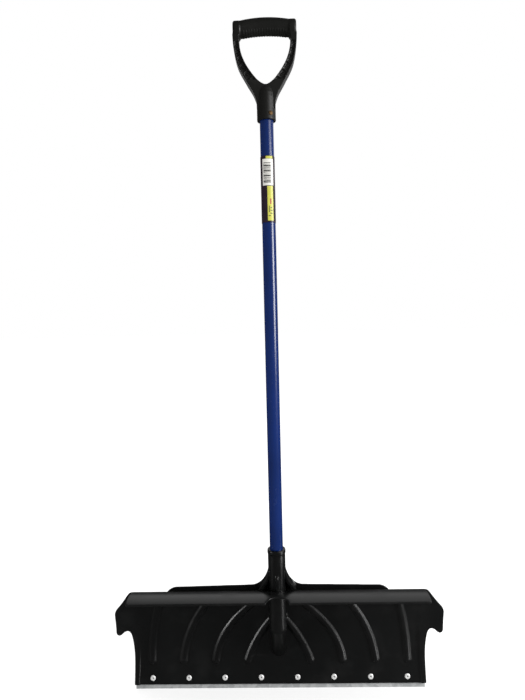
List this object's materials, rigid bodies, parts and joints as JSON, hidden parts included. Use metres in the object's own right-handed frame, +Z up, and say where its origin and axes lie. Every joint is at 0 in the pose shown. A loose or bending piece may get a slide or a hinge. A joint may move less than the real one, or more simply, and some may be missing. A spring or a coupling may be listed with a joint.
{
  "type": "snow shovel",
  "caption": "Snow pusher shovel: a wide moulded blade curled forward at the top with a riveted metal wear strip, a straight tubular handle and a D-shaped hand grip.",
  "frame": {"origin": "middle of the underside of the wear strip, where the blade meets the ground", "axes": "+Z up along the handle towards the D-grip, +X across the blade to the right as seen from its hollow side, -Y the way the hollow side faces; the handle's axis is parallel to Z at y = -37.7 mm"},
  "size_m": [0.663, 0.1101, 1.294],
  "materials": {
    "blade_plastic": "black moulded polyethylene, satin with a fine grain",
    "strip_steel": "galvanised steel strip, dull grey",
    "rivet_aluminium": "bright domed blind rivet",
    "pin_steel": "broken end of the rivet's steel mandrel",
    "tube_coating": "glossy blue coating on steel tube",
    "grip_plastic": "black moulded plastic, satin",
    "screw_brass": "yellow-passivated screw",
    "screw_steel": "zinc-plated screw",
    "label_film": "printed film wrapped round the tube, dark with a yellow panel",
    "label_paper": "white sticker with plain bars"
  },
  "bodies": {
    "root": {"blade": "blade_plastic", "wear_strip": "strip_steel", "rivet_1": "rivet_aluminium", "rivet_2": "rivet_aluminium", "rivet_3": "rivet_aluminium", "rivet_4": "rivet_aluminium", "rivet_5": "rivet_aluminium", "rivet_6": "rivet_aluminium", "rivet_7": "rivet_aluminium", "rivet_8": "rivet_aluminium", "rivet_pin_1": "pin_steel", "rivet_pin_2": "pin_steel", "rivet_pin_3": "pin_steel", "rivet_pin_4": "pin_steel", "rivet_pin_5": "pin_steel", "rivet_pin_6": "pin_steel", "rivet_pin_7": "pin_steel", "rivet_pin_8": "pin_steel", "handle_tube": "tube_coating", "d_grip": "grip_plastic", "grip_screw": "screw_brass", "socket_screw": "screw_steel", "product_label": "label_film", "barcode_label": "label_paper"}
  },
  "joints": []
}
